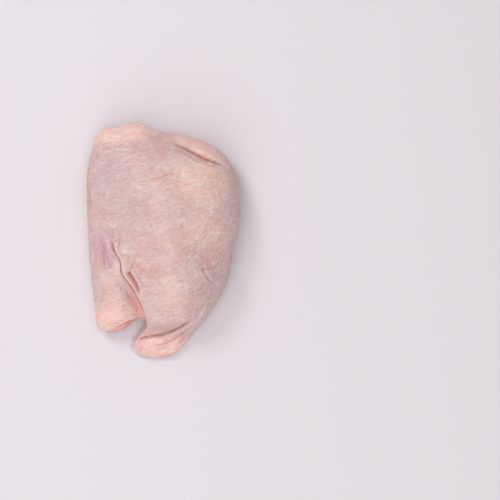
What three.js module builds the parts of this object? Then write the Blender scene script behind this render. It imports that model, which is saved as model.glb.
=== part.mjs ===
// A raw chicken thigh on the bone with its skin on, lying on its meat side with the skin up.
// Millimetres, +Z up, +Y towards the hip end. The origin is on the surface that the thigh lies on,
// under the middle of its box.
import * as THREE from "three";
import { mergeVertices } from "three/addons/utils/BufferGeometryUtils.js";

// The outline seen from above, anticlockwise from the hip's left corner. Each row holds x and y, the height
// of the rim there, which is the widest level, and how far the skin wraps under the body from that rim.
// A wrap below 0 stops short on top, where the cut shows.
const OUTLINE = [
  [-34.4, 59.5, 8.5, 8], // hip corner
  [-38.9, 49.2, 10, 13],
  [-41.5, 36.6, 11, 17],
  [-41.7, 20, 11, 18], // widest on the left flank
  [-41.2, 2, 10.5, 16],
  [-39.8, -19, 10, 15],
  [-37.8, -35, 9.5, 12],
  [-37.1, -44.6, 8.8, 6],
  [-34.9, -49.7, 8.4, 1], // heel of the left lobe
  [-26.4, -50.2, 8, -6],
  [-20.2, -48.2, 8, -7.5], // cut end, where meat shows
  [-14.4, -43.2, 7.5, -2.4],
  [-8.8, -45, 6, 3], // notch beside the knee
  [-9.8, -55.5, 4, 8],
  [-7.5, -63.6, 3.2, 9],
  [1.6, -64.2, 3.2, 9], // tip of the loose skin at the knee
  [9, -59, 4.5, 8],
  [15.4, -51.2, 6.6, 9],
  [21.4, -44.6, 8.6, 11],
  [29.4, -33, 10.5, 13],
  [35, -20.5, 11.5, 15],
  [37.2, -8.5, 12, 14.5],
  [41.5, 14, 12.5, 16], // widest on the right flank
  [39.2, 34, 12, 17],
  [30.5, 48, 11, 14],
  [14, 56, 10, 10],
  [-4.5, 59.4, 9, 7],
  [-14.6, 64.3, 6.5, 6], // peak of the hip skin
  [-23.6, 61.9, 7.5, 6],
];
const CENTRE = new THREE.Vector2(9, 3); // every ray from here meets the outline once

// The mesh is finer in the directions of the notch: how strongly it draws together there, and how widely.
const NOTCH_FINENESS = { towards: [-8.8, -45], pull: 0.55, spread: 0.32 };

// The loose skin at the knee bulges to the left, past what a ray from the centre can reach.
const KNEE_BULGE = { at: [-10, -59], push: [-8.8, -0.4], spread: 8.2 };

const SIDE_POWER = 2.55; // 2 is an ellipse from the top to the rim, more is plumper
const UNDER_POWER = 3.2; // the same from the rim to the underside, which is nearly flat
const SETTLED = 0.9; // how much of the underside is pressed flat by the thigh's own weight
const NOTCH_REACH = 0.6; // share of the radius inside which the outline's dents have faded
const SKIN_THICKNESS = 1.5; // skin with the fat under it
const SKIN_STEP = 2.8; // width of the step down from the skin's edge to the meat
const SKIN_EDGE_REACH = 5; // how far from its edge the skin's thickness shows underneath
const UNDER_EASE = 7; // how far in from the skin's edge the underside's relief starts
const RIM_EASE = 0.5; // share of the body's height over which the bare meat sinks below the skin's level

// Heights of the skin above the surface: a level, and rounded swellings on it.
const SKIN_LEVEL = 24.5;
const SWELLINGS = [
  { at: [8, 8], spread: [31, 42], rise: 12 }, // the thick of the thigh
  { at: [-29, -22], spread: [9, 24], rise: 2.6 }, // left lobe
  { at: [-26, 34], spread: [15, 18], rise: 3 }, // left shoulder
  { at: [12, -32], spread: [13, 15], rise: 2.4 }, // knee muscle
  { at: [16, 44], spread: [18, 12], rise: 1.6 }, // hip muscle
  { at: [27, -21], spread: [12, 8], rise: 2 }, // right side of the knee
  { at: [32, -8], spread: [11, 6], rise: -1.6 }, // dip behind it
  { at: [-13, -42], spread: [7, 12], rise: -8 }, // hollow above the notch
];
// Long, shallow unevenness of soft flesh: heights in mm, turns in radians a mm.
const SOFT_WAVES = [
  { height: 0.7, turn: [0.17, 0.06], start: 0.8 },
  { height: 0.6, turn: [-0.05, 0.15], start: 2.1 },
];
const DIMPLES = { height: 0.35, turn: [0.31, 0.27], start: [1.2, 0.4] };
const UNDER_DIMPLES = { height: 0.5, turn: [0.21, 0.13], start: [0.6, 1.1] };
const KNEE_SKIN_HEIGHT = 8.5; // of the loose skin past the knee
const KNEE_FALL = [-43, -57]; // between these the height falls to that

// The crease where the skin of the main muscle folds over the left lobe, from its faint start to the notch.
const CREASE = {
  line: [[-28.7, 3], [-25.6, -5], [-23.3, -13.5], [-21.6, -20], [-17.4, -25.6], [-14.4, -32], [-10, -43]],
  depth: 4.4,
  width: 3,
  lip: 2, // how far the folded skin stands up beside the crease
  lipOffset: 4.2,
  lipWidth: 3.4,
  rimFade: 0.31, // share of the radius over which the crease fades towards the rim
};
// The fold where the loose skin comes out from under the skin of the knee.
const KNEE_FOLD = {
  line: [[24, -32], [19, -41], [10, -47.5], [0, -52], [-13, -54.5]],
  depth: 2.6,
  width: 2.4,
  lip: 2.2,
  lipOffset: 3.6,
  lipWidth: 3,
  rimFade: 0.17,
};
// The fold under the roll of skin and fat at the hip end.
const HIP_FOLD = {
  line: [[-4, 53.5], [7, 51.5], [17, 46.5], [26, 42.5], [37, 39.5]],
  depth: 2.8,
  width: 2.4,
  lip: 1.6,
  lipOffset: 4,
  lipWidth: 3,
  rimFade: 0.17,
};
const FOLD_START = 0.5; // share of a fold's length over which it deepens
const GATHER = { pull: 0.55, reach: 6.5, fade: 9 }; // how the mesh draws together along the folds

// Seams between the muscles of the underside; the bone lies along the first.
const SEAMS = [
  { line: [[-16, 44], [-9, 25], [-2, 3], [-5, -18], [-3, -34]], depth: 3, width: 3.4 },
  { line: [[-7, 22], [7, 16], [20, 3], [27, -12]], depth: 2, width: 3 },
  { line: [[-3, -6], [-13, -14], [-21, -27], [-24, -38]], depth: 1.9, width: 2.8 },
  { line: [[-28, 26], [-20, 12], [-6, 4]], depth: 1.3, width: 2.8 },
];
const SEAM_END = 0.25; // share of a seam's length over which it fades at each end
// Rounded ends of the bone, each standing in a shallow ring.
const BONE_ENDS = [
  { at: [-13, 46], radius: 6.2 },
  { at: [2, -43], radius: 8.4 },
];
const BONE_RING_DEPTH = 2.6;
const BONE_RING_WIDTH = 2.7;

// Mean sizes that the mesh is spaced by: the rim's radius, and the heights above it and below it.
const MEAN = { radius: 50, rise: 24, drop: 10 };
const BODY_DETAIL = 23; // splits of each edge of the ball that the thigh is shaped from
const BODY_COLOUR = 0xdcbab4;

const TURN = Math.PI * 2;
const clamp01 = (value) => Math.min(1, Math.max(0, value));
const smooth = (value) => clamp01(value) ** 2 * (3 - 2 * clamp01(value));
const bell = (distance, width) => Math.exp(-((distance / width) ** 2));

const DIRECTIONS = 720;
const OUTLINE_BLUR = 3; // in directions
const RIM_BLUR = 6;
const INSIDE_BLUR = 50;
const LINE_STEPS = 60; // straight steps along a fold or a seam
const MERIDIAN_STEPS = 400;

// The outline's distance from the centre, its rim height and its wrap, in evenly spaced directions.
function outlineTables() {
  const loop = (points) => new THREE.CatmullRomCurve3(points, true, "catmullrom", 0.5);
  const edge = loop(OUTLINE.map(([x, y, rim]) => new THREE.Vector3(x, y, rim)));
  const wraps = loop(OUTLINE.map((row) => new THREE.Vector3(row[3], 0, 0)));
  const steps = 8 * DIRECTIONS;
  const found = [];
  for (let i = 0; i < steps; i++) {
    const p = edge.getPoint(i / steps);
    const fromCentre = new THREE.Vector2(p.x, p.y).sub(CENTRE);
    const direction = Math.atan2(fromCentre.y, fromCentre.x);
    found.push({ direction, radius: fromCentre.length(), rim: p.z, wrap: wraps.getPoint(i / steps).x });
  }
  found.sort((a, b) => a.direction - b.direction);
  const tables = { radius: [], rim: [], wrap: [] };
  let next = 0;
  for (let i = 0; i < DIRECTIONS; i++) {
    const direction = (i / DIRECTIONS) * TURN - Math.PI;
    while (next < found.length - 1 && found[next].direction < direction) next++;
    for (const name of Object.keys(tables)) tables[name].push(found[next][name]);
  }
  return tables;
}

function blurred(values, reach) {
  return values.map((_, i) => {
    let sum = 0;
    let weight = 0;
    for (let k = -2 * reach; k <= 2 * reach; k++) {
      const share = bell(k, reach);
      sum += share * values[(i + k + DIRECTIONS) % DIRECTIONS];
      weight += share;
    }
    return sum / weight;
  });
}

const TABLES = outlineTables();
const OUTER_RADII = blurred(TABLES.radius, OUTLINE_BLUR);
const INNER_RADII = blurred(TABLES.radius, INSIDE_BLUR);
const RIMS = blurred(TABLES.rim, RIM_BLUR);
const WRAPS = blurred(TABLES.wrap, OUTLINE_BLUR);

function tableAt(table, direction) {
  const place = ((direction + Math.PI) / TURN) * DIRECTIONS + DIRECTIONS;
  const low = Math.floor(place);
  return THREE.MathUtils.lerp(table[low % DIRECTIONS], table[(low + 1) % DIRECTIONS], place - low);
}

// How far a point is from a smooth line, which is more than 0 on the left of its run, the step from the point
// to the line, and how far along the line that is, from 0 to 1.
function smoothLine(points) {
  const curve = new THREE.SplineCurve(points.map(([x, y]) => new THREE.Vector2(x, y)));
  const samples = curve.getSpacedPoints(LINE_STEPS);
  return (p) => {
    let best = { distance: Infinity };
    for (let i = 1; i < samples.length; i++) {
      const start = samples[i - 1];
      const run = samples[i].clone().sub(start);
      const t = clamp01(p.clone().sub(start).dot(run) / run.lengthSq());
      const step = start.clone().addScaledVector(run, t).sub(p);
      const distance = step.length();
      if (distance < best.distance) {
        const side = run.cross(step) > 0 ? -1 : 1;
        best = { distance, signed: side * distance, step, along: (i - 1 + t) / (samples.length - 1) };
      }
    }
    return best;
  };
}

const FOLDS = [CREASE, KNEE_FOLD, HIP_FOLD].map((fold) => ({ ...fold, from: smoothLine(fold.line) }));
const seamsFrom = SEAMS.map((seam) => ({ ...seam, from: smoothLine(seam.line) }));

// Draws a point of the top towards the folds, so that their valleys are finely shaped.
function gathered(p, inset) {
  const moved = p.clone();
  for (const { from } of FOLDS) {
    const { distance, step, along } = from(p);
    const pull = GATHER.pull * bell(distance, GATHER.reach) * smooth(along / FOLD_START);
    moved.addScaledVector(step, pull * smooth(inset / GATHER.fade));
  }
  return moved;
}

// A point on the body's plan, at a share of the way from the centre to the outline.
function planPoint(direction, share) {
  const outer = smooth((share - NOTCH_REACH) / (1 - NOTCH_REACH));
  const { lerp } = THREE.MathUtils;
  const radius = lerp(tableAt(INNER_RADII, direction), tableAt(OUTER_RADII, direction), outer);
  const p = new THREE.Vector2(radius * share, 0).rotateAround(new THREE.Vector2(), direction).add(CENTRE);
  const { at, push, spread } = KNEE_BULGE;
  const pushed = bell(Math.hypot(p.x - at[0], p.y - at[1]), spread);
  return p.add(new THREE.Vector2(...push).multiplyScalar(pushed));
}

function foldRelief(p, share) {
  let relief = 0;
  for (const { from, depth, width, lip, lipOffset, lipWidth, rimFade } of FOLDS) {
    const { distance, signed, along } = from(p);
    const faded = smooth(along / FOLD_START) * smooth((1 - share) / rimFade);
    relief += faded * (lip * bell(signed - lipOffset, lipWidth) - depth * bell(distance, width));
  }
  return relief;
}

function dimples(p, { height, turn, start }) {
  return height * Math.sin(p.x * turn[0] + start[0]) * Math.sin(p.y * turn[1] + start[1]);
}

function unevenness(p) {
  let height = dimples(p, DIMPLES);
  for (const wave of SOFT_WAVES)
    height += wave.height * Math.sin(p.x * wave.turn[0] + p.y * wave.turn[1] + wave.start);
  return height;
}

function skinHeight(p) {
  let height = SKIN_LEVEL + unevenness(p);
  for (const { at, spread, rise } of SWELLINGS)
    height += rise * bell(p.x - at[0], spread[0]) * bell(p.y - at[1], spread[1]);
  const fall = smooth((KNEE_FALL[0] - p.y) / (KNEE_FALL[0] - KNEE_FALL[1]));
  return THREE.MathUtils.lerp(height, KNEE_SKIN_HEIGHT, fall);
}

function underRelief(p) {
  let relief = UNDER_DIMPLES.height + dimples(p, UNDER_DIMPLES);
  for (const { from, depth, width } of seamsFrom) {
    const { distance, along } = from(p);
    relief += depth * bell(distance, width) * smooth(along / SEAM_END) * smooth((1 - along) / SEAM_END);
  }
  for (const { at, radius } of BONE_ENDS) {
    const distance = Math.hypot(p.x - at[0], p.y - at[1]);
    relief += BONE_RING_DEPTH * bell(distance - radius, BONE_RING_WIDTH);
  }
  return relief;
}

const NOTCH_DIRECTION = new THREE.Vector2(...NOTCH_FINENESS.towards).sub(CENTRE).angle();

// Turns a direction towards the notch, the more so the nearer it is.
function crowded(direction) {
  const offset = THREE.MathUtils.euclideanModulo(direction - NOTCH_DIRECTION + Math.PI, TURN) - Math.PI;
  const turned = NOTCH_DIRECTION + offset * (1 - NOTCH_FINENESS.pull * bell(offset, NOTCH_FINENESS.spread));
  return THREE.MathUtils.euclideanModulo(turned + Math.PI, TURN) - Math.PI;
}

// A point of the body. The share is 1 at the rim and 0 at the middle of the top or of the underside.
function bodyPoint(ballDirection, share, isTop) {
  const direction = crowded(ballDirection);
  const rim = tableAt(RIMS, direction);
  const inset = (1 - share) * tableAt(OUTER_RADII, direction);
  const wrap = tableAt(WRAPS, direction);
  if (isTop) {
    const p = gathered(planPoint(direction, share), inset);
    const dome = (1 - share ** SIDE_POWER) ** (1 / SIDE_POWER);
    const bare = smooth(0.5 - (wrap + inset) / SKIN_STEP) * smooth(dome / RIM_EASE);
    const z = rim + (skinHeight(p) - rim) * dome + foldRelief(p, share);
    return new THREE.Vector3(p.x, p.y, z - SKIN_THICKNESS * bare);
  }
  const p = planPoint(direction, share);
  const tuck = 1 - (1 - share ** UNDER_POWER) ** (1 / UNDER_POWER);
  const bare = smooth(0.5 + (inset - wrap) / SKIN_STEP);
  const overSkin = SKIN_THICKNESS * bell(inset - wrap, SKIN_EDGE_REACH);
  const relief = overSkin + underRelief(p) * smooth((inset - wrap) / UNDER_EASE);
  return new THREE.Vector3(p.x, p.y, Math.max(SETTLED, rim * tuck + relief * bare * (1 - tuck)));
}

// How far along the top's or the underside's meridian each level of a ball goes, so that its faces are even.
function evenShares(power, height) {
  const steps = MERIDIAN_STEPS;
  const shares = [0];
  const areas = [0];
  let before = [0, 1];
  for (let i = 1; i <= steps; i++) {
    const angle = ((i / steps) * Math.PI) / 2;
    const share = Math.sin(angle) ** (2 / power);
    const here = [share, Math.max(0, 1 - share ** power) ** (1 / power)];
    const length = Math.hypot((here[0] - before[0]) * MEAN.radius, (here[1] - before[1]) * height);
    areas.push(areas[i - 1] + (length * (here[0] + before[0])) / 2);
    shares.push(share);
    before = here;
  }
  const total = areas[steps];
  return {
    total,
    at: (portion) => {
      let i = 1;
      while (i < steps && areas[i] < portion * total) i++;
      const t = clamp01((portion * total - areas[i - 1]) / (areas[i] - areas[i - 1]));
      return THREE.MathUtils.lerp(shares[i - 1], shares[i], t);
    },
  };
}

// Shapes a fine ball: shape(direction, share, isTop) gives the place of each of its corners.
function shapedBall(detail, shape, spacing) {
  const geometry = new THREE.IcosahedronGeometry(1, detail);
  geometry.deleteAttribute("normal");
  geometry.deleteAttribute("uv");
  const ball = mergeVertices(geometry, 1e-5);
  const corners = ball.getAttribute("position");
  const topPortion = spacing.top.total / (spacing.top.total + spacing.under.total);
  for (let i = 0; i < corners.count; i++) {
    const direction = Math.atan2(corners.getY(i), corners.getX(i));
    const covered = (1 - corners.getZ(i)) / 2;
    const isTop = covered <= topPortion;
    const share = isTop
      ? spacing.top.at(covered / topPortion)
      : spacing.under.at((1 - covered) / (1 - topPortion));
    const place = shape(direction, Math.min(1, share), isTop);
    corners.setXYZ(i, place.x, place.y, place.z);
  }
  return ball;
}

function bodyGeometry() {
  const spacing = { top: evenShares(SIDE_POWER, MEAN.rise), under: evenShares(UNDER_POWER, MEAN.drop) };
  return shapedBall(BODY_DETAIL, bodyPoint, spacing);
}

// Stands the thigh on the surface, with the middle of its box over the origin.
function placed(geometry) {
  geometry.computeBoundingBox();
  const { min, max } = geometry.boundingBox;
  return geometry.translate(-(min.x + max.x) / 2, -(min.y + max.y) / 2, -min.z);
}

const geometry = placed(bodyGeometry());
geometry.computeVertexNormals();
const thigh = new THREE.Mesh(
  geometry,
  new THREE.MeshStandardMaterial({ color: BODY_COLOUR, roughness: 0.45, metalness: 0 }),
);
thigh.name = "chicken_thigh";

const part = new THREE.Group();
part.add(thigh);
export default part;
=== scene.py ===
import math

import bmesh
import bpy
import numpy as np
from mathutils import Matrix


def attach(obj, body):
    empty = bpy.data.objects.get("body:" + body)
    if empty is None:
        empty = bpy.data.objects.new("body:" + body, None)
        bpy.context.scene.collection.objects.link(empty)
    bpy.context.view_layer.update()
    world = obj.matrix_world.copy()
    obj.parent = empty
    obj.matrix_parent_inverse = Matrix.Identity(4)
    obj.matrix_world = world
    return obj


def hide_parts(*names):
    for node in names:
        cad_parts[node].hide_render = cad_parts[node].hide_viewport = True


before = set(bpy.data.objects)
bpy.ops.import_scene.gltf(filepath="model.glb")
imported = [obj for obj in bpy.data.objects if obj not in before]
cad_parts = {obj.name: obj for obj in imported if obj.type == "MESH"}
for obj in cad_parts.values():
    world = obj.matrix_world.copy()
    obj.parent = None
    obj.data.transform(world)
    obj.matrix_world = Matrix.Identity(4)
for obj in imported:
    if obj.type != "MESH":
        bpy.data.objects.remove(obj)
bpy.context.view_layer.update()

NODE = "chicken_thigh"
METRES = 0.001
TINY = 1e-6

# The form, from the same named sizes as the solid.
# Each row holds x and y, the height of the rim, and how far the skin wraps under the body from there.
OUTLINE = np.array([
    [-34.4, 59.5, 8.5, 8],  # hip corner
    [-38.9, 49.2, 10, 13],
    [-41.5, 36.6, 11, 17],
    [-41.7, 20, 11, 18],  # widest on the left flank
    [-41.2, 2, 10.5, 16],
    [-39.8, -19, 10, 15],
    [-37.8, -35, 9.5, 12],
    [-37.1, -44.6, 8.8, 6],
    [-34.9, -49.7, 8.4, 1],  # heel of the left lobe
    [-26.4, -50.2, 8, -6],
    [-20.2, -48.2, 8, -7.5],  # cut end, where meat shows
    [-14.4, -43.2, 7.5, -2.4],
    [-8.8, -45, 6, 3],  # notch beside the knee
    [-9.8, -55.5, 4, 8],
    [-7.5, -63.6, 3.2, 9],
    [1.6, -64.2, 3.2, 9],  # tip of the loose skin at the knee
    [9, -59, 4.5, 8],
    [15.4, -51.2, 6.6, 9],
    [21.4, -44.6, 8.6, 11],
    [29.4, -33, 10.5, 13],
    [35, -20.5, 11.5, 15],
    [37.2, -8.5, 12, 14.5],
    [41.5, 14, 12.5, 16],  # widest on the right flank
    [39.2, 34, 12, 17],
    [30.5, 48, 11, 14],
    [14, 56, 10, 10],
    [-4.5, 59.4, 9, 7],
    [-14.6, 64.3, 6.5, 6],  # peak of the hip skin
    [-23.6, 61.9, 7.5, 6],
])
CENTRE = np.array([9.0, 3.0])
# The notch draws the mesh's headings towards it, and the loose skin at the knee is pushed out past it.
NOTCH = {"towards": (-8.8, -45), "pull": 0.55, "spread": 0.32}
KNEE_BULGE = {"at": (-10, -59), "push": (-8.8, -0.4), "spread": 8.2}
SIDE_POWER = 2.55  # how square the sides are above the rim
UNDER_POWER = 3.2  # and below it
SETTLED = 0.9  # height under which the thigh is pressed flat
NOTCH_REACH = 0.6  # inside this share of the radius the notch isn't felt
SKIN_THICKNESS = 1.5
SKIN_EDGE_REACH = 5  # over how far from the skin's edge the meat stands back by the skin's thickness
UNDER_EASE = 7  # how far from it the muscles' relief is full
RIM_EASE = 0.5  # share of the dome above which the meat lies the skin's thickness down
SKIN_LEVEL = 24.5  # height of the top where no swelling lifts it
SWELLINGS = [  # place, spread, rise
    ((8, 8), (31, 42), 12),
    ((-29, -22), (9, 24), 2.6),
    ((-26, 34), (15, 18), 3),
    ((12, -32), (13, 15), 2.4),
    ((16, 44), (18, 12), 1.6),
    ((27, -21), (12, 8), 2),
    ((32, -8), (11, 6), -1.6),
    ((-13, -42), (7, 12), -8),
]
SOFT_WAVES = [(0.7, 0.17, 0.06, 0.8), (0.6, -0.05, 0.15, 2.1)]  # height, turns a mm, start
DIMPLES = (0.35, 0.31, 1.2, 0.27, 0.4)  # height, then turn a mm and start along x and y
UNDER_DIMPLES = (0.5, 0.21, 0.6, 0.13, 1.1)
KNEE_SKIN_HEIGHT = 8.5
KNEE_FALL = (-43, -57)  # between these, in y, the top comes down to the loose skin
CREASE = {
    "line": [(-28.7, 3), (-25.6, -5), (-23.3, -13.5), (-21.6, -20), (-17.4, -25.6), (-14.4, -32), (-10, -43)],
    "depth": 4.4, "width": 3, "lip": 2, "lip_offset": 4.2, "lip_width": 3.4, "rim_fade": 0.31,
}
KNEE_FOLD = {
    "line": [(24, -32), (19, -41), (10, -47.5), (0, -52), (-13, -54.5)],
    "depth": 2.6, "width": 2.4, "lip": 2.2, "lip_offset": 3.6, "lip_width": 3, "rim_fade": 0.17,
}
HIP_FOLD = {
    "line": [(-4, 53.5), (7, 51.5), (17, 46.5), (26, 42.5), (37, 39.5)],
    "depth": 2.8, "width": 2.4, "lip": 1.6, "lip_offset": 4, "lip_width": 3, "rim_fade": 0.17,
}
FOLD_START = 0.5  # share of a fold over which it deepens
GATHER = {"pull": 0.55, "reach": 6.5, "fade": 9}  # draws the top's mesh to the folds, but not at the rim
SEAMS = [  # line, depth, width
    ([(-16, 44), (-9, 25), (-2, 3), (-5, -18), (-3, -34)], 3, 3.4),
    ([(-7, 22), (7, 16), (20, 3), (27, -12)], 2, 3),
    ([(-3, -6), (-13, -14), (-21, -27), (-24, -38)], 1.9, 2.8),
    ([(-28, 26), (-20, 12), (-6, 4)], 1.3, 2.8),
]
LINE_END = 0.25  # share of a line over which it fades at each end
BONE_ENDS = [((-13, 46), 6.2), ((2, -43), 8.4)]  # middle and radius
BONE_RING = (2.6, 2.7)  # depth and width of the hollow round each
MEAN = {"radius": 50, "rise": 24, "drop": 10}  # of a plain round thigh, whose areas place the mesh

TURN = 2 * math.pi
DIRECTIONS = 720  # rows of each table that goes round the thigh
OUTLINE_BLUR, RIM_BLUR, INSIDE_BLUR, EDGE_BLUR = 3, 6, 50, 4  # rows that each table is blurred over
LINE_STEPS = 60
MERIDIAN_STEPS = 400

# Fine relief of the skin, in mm.
GRAIN_ANGLES = (math.radians(18), math.radians(38))  # wrinkles rise to the right, more so on the lobe
GRAIN_TURN = (-4, -34)  # between these, in y, the first angle gives way to the second
WRINKLE = {"height": 0.34, "long": 7, "wide": 1.75, "bend": 2, "bend_size": 15, "offset": 3}
FINE_WRINKLE = {"height": 0.27, "long": 3.6, "wide": 1, "bend": 0.8, "bend_size": 6, "offset": 11}
RIDGED = 0.4  # share of narrow valleys in the wrinkles, the rest is soft waves
PRESSED = 0.3  # share of the relief that is left where the skin is pressed flat underneath
ROLL = {"height": 0.3, "size": 11, "offset": 5}
FOLLICLE = {"spacing": 4.3, "height": 0.17, "radius": 0.8, "jitter": 0.42, "least": 0.1}
LOOSE = [((-2, -58), (17, 9), 0.9), ((-20, 60), (20, 8), 0.5)]  # loose skin: middle, half sizes and ripple
RIPPLE = {"size": 5, "offset": 31}
# The narrow bottom of each fold, and the roll of skin that leans over it: how far, where, how wide and high.
CREASE_BOTTOM = [
    (-27.1, 2), (-26.9, -1), (-26.4, -3.4), (-25.3, -5.9), (-23.5, -8.7), (-21.7, -12), (-21.1, -16.5),
    (-20, -19.3), (-17.4, -23), (-15.7, -25.5), (-13.2, -31.5), (-9.7, -42.7),
]
SLITS = [
    {
        "line": CREASE_BOTTOM, "depth": 1.9, "width": 0.4, "start": 0.3,
        "lean": 1.5, "nose": 2.5, "wide": 1.7, "roll": 0.7,
    },
    {
        "line": KNEE_FOLD["line"], "depth": 1.5, "width": 0.7, "start": 0.5,
        "lean": 1.5, "nose": 2.4, "wide": 1.8, "roll": 0.3,
    },
    {
        "line": HIP_FOLD["line"], "depth": 2, "width": 0.8, "start": 0.5,
        "lean": 1.5, "nose": 2.4, "wide": 1.8, "roll": 0.3,
    },
]
# A fold's pale lip is partly pale skin and partly a painted highlight along the roll's edge.
LIP_SHOWN = (2, 1.3)  # how far from a fold its pale lip is, and how wide
# The reddened valley beside the crease's lower end, darkened as painted shade, and how far it goes past the
# crease's own line.
HOLLOW = {"from": 0.6, "over": 0.25, "width": 3.2, "past": 1}
CREASE_FILL = {"share": 0.86, "end": 0.95, "fade": 0.3}  # skin that makes most of the crease a narrow line
# The crease's mauve line is painted shade.
SHADED = {"width": 0.45, "end": 0.8, "fade": 0.3}  # the mauve line along the crease's upper part
PLEAT_SIDES = 2  # how many widths from its line a pleat's sides stand up
PLEATS = [  # line, depth, width, rise of its sides
    # The slit on the flap beside the crease, and the soft pleats that run to it.
    ([
        (-17.3, -16.2), (-16.4, -17.9), (-15, -20), (-12.9, -23.4), (-11.6, -27.2), (-10.3, -32),
    ], 2.2, 0.55, 0.35),
    ([(-17, -18.4), (-16, -16.2), (-14.9, -13.4), (-13.6, -9.2)], 0.75, 0.5, 0.4),
    ([(-20, -5), (-19.5, -11), (-18.6, -16)], 0.35, 0.8, 0.22),
    ([(-21.8, 1.6), (-22.2, -0.6), (-22.7, -4.2), (-22, -7.6), (-20.6, -11)], 1.1, 0.42, 0.35),
    ([(-13.2, -7), (-11.4, -13), (-9.4, -20)], 0.4, 0.9, 0.2),
    # Short wrinkles over the dark patch of the left lobe.
    ([(-32.4, 6), (-30.6, 4.1), (-28.8, 2.8)], 0.75, 0.42, 0.3),
    ([(-27.2, 7), (-26.4, 4), (-25.9, 1), (-25.9, -1.4)], 0.65, 0.42, 0.3),
    ([(-30.6, 3), (-29.2, -3), (-28, -9)], 0.4, 0.7, 0.25),
    ([(-33.4, 0), (-31.6, -7), (-29.6, -14)], 0.35, 0.8, 0.2),
    # Short slanting wrinkles below it.
    ([(-36, -22), (-33.5, -20), (-31, -18)], 0.5, 0.45, 0.25),
    ([(-28.2, -24.6), (-25.5, -22), (-23.4, -19.6)], 0.4, 0.45, 0.2),
    ([(-25.2, -27.4), (-22.2, -23.6), (-20.4, -20.6)], 0.5, 0.45, 0.25),
    # The line beside the left rim, where the skin turns under.
    ([(-34.6, 50), (-37.6, 42), (-39, 32), (-39.3, 24), (-38.9, 15), (-39.1, 8)], 0.8, 0.5, 0.35),
    ([(-38.6, 12), (-38.1, 4), (-37.5, -6), (-35.4, -24)], 0.35, 0.7, 0.18),
    # Folds of the loose skin past the knee.
    ([(17, -46.4), (10, -52.2), (2, -56.8), (-8, -59.4)], 1, 0.55, 0.5),
    ([(8.6, -46.8), (10.2, -50.2), (11.4, -55.2)], 0.6, 0.5, 0.35),
    ([(-2, -53.4), (-6.8, -56), (-12.4, -56.8)], 0.5, 0.5, 0.3),
    # Creases on the right of the knee, and beside the roll at the hip.
    ([(33, -12), (27, -15.4), (20, -16.4)], 0.6, 0.9, 0.3),
    ([(30, -25), (25, -21), (21, -14)], 0.5, 0.8, 0.3),
    ([(6, 47.6), (13, 45.8), (20, 41.2)], 0.5, 0.8, 0.3),
]
VEINS = [  # line and width of each vein that shows through the skin
    ([
        (-33.6, 5.4), (-32.6, -0.4), (-31.2, -4.4), (-30.2, -7.4), (-28.8, -10), (-27.6, -13.4), (-26.4, -17),
    ], 1.5),
    ([(-29.4, 7), (-28, 2.4), (-27, -1.4), (-26, -4.9), (-25, -8.6), (-23.8, -13)], 0.9),
    ([(-32.4, -5), (-31.8, -9), (-30.9, -13), (-30.4, -17)], 0.7),
]
EDGE_SWAY = {"reach": 1.2, "turns": 3.6, "fine_reach": 0.55, "fine_turns": 13, "offset": 7}
CUT_SKIN = [  # skin that reaches further over both ends of the cut
    {"towards": (-29.5, -50.4), "reach": 3.2, "spread": 0.055},
    {"towards": (-17, -46), "reach": 1.6, "spread": 0.05},
]
EDGE_ROLL = {"rise": 0.3, "reach": 1.3}  # the cut edge of the skin rolls up a little
FAR_AWAY = 1000  # where places are put that no line on the top may touch

# The skin's mesh, and what lies under it.
OUTER_SHARE = 0.84  # of the skin's mesh, the rest is its inner side
RING_REACH = 0.46  # share of the outer side's mesh inside the ring
RING_SHARE = 0.82  # how far out on the top the ring lies
SKIN_CUTS = 124
MEAT_CUTS = 120
MEAT_SPREAD = ([0, 0.08, 0.34, 1], [0, 0.5, 1])  # of the meat's mesh: coarse under the skin, fine beneath
MEAT_GAP = 0.35  # between the skin's inner side and the meat
LOWEST = {"skin": 0, "fat": 0.06, "gristle": 0.12, "meat": 0.25}  # pieces pressed flat don't share a face
CUT_SHOWN = 1.5  # how far the skin stops short where the cut end is fully shown
CUT_REACH = 16  # how far the cut end runs on past the skin
BARE_BLEND = 2  # over how far the covered meat becomes bare meat
SEAM_SHOWN = 0.6  # share of a seam's width that is coloured
STRANDS = [  # of the bare meat: height, size across and along the fibres, and where the unevenness starts
    (0.25, (1, 9), (0, 0)),
    (0.5, (2.6, 16), (7, 3)),
    (0.35, (3, 4), (9, 0)),
]
STRANDS_SUNK = 0.35
FIBRE_ANGLES = (0.3, -0.35)  # of the meat's fibres on either side of the bone
FIBRE_TURN = 16  # over how far one angle gives way to the other
BONE_SHOWN = {"depth": 2.2, "reach": 1.1}  # how the meat stands back from the bone's ends
FAT = {  # the ribbon of fat: where it runs, its mesh, its tapered ends, its place and its size
    "headings": (229, -74), "length": 310, "sides": 24, "steps": 600, "end": 0.03, "end_size": 0.002,
    "past": 1.4, "stray": 0.9, "stray_sizes": (17, 40), "stray_offset": 3,
    "half_width": 2, "half_height": 0.9, "lift": 0.8,
    "lumps": (0.4, 7), "fine_lumps": (0.2, 2.8), "fine_offset": 5,
}
# Middle, half sizes and turn of each rounded end of bone.
HIP_GRISTLE = [((-13, 46, 5.4), (6.8, 6.2, 4.8), 0.3)]
KNEE_GRISTLE = [((-2.6, -43.4, 5.2), (5.4, 6.8, 4.5), 0.15), ((5.6, -43, 5.2), (5.2, 6.4, 4.4), -0.2)]
LUMP = {"subdivisions": 5, "dent_size": 1.5, "dents": 0.06}
LATTICE_SIZE = 256
LATTICE = np.random.default_rng(41).random((LATTICE_SIZE, LATTICE_SIZE))


def smooth(value):
    """Eases a value from 0 to 1, and holds it there."""
    share = np.clip(value, 0, 1)
    return share * share * (3 - 2 * share)


def bell(distance, width):
    """1 at no distance, and almost 0 past two widths."""
    return np.exp(-((distance / width) ** 2))


def blend(first, second, share):
    return first + (second - first) * share


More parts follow.
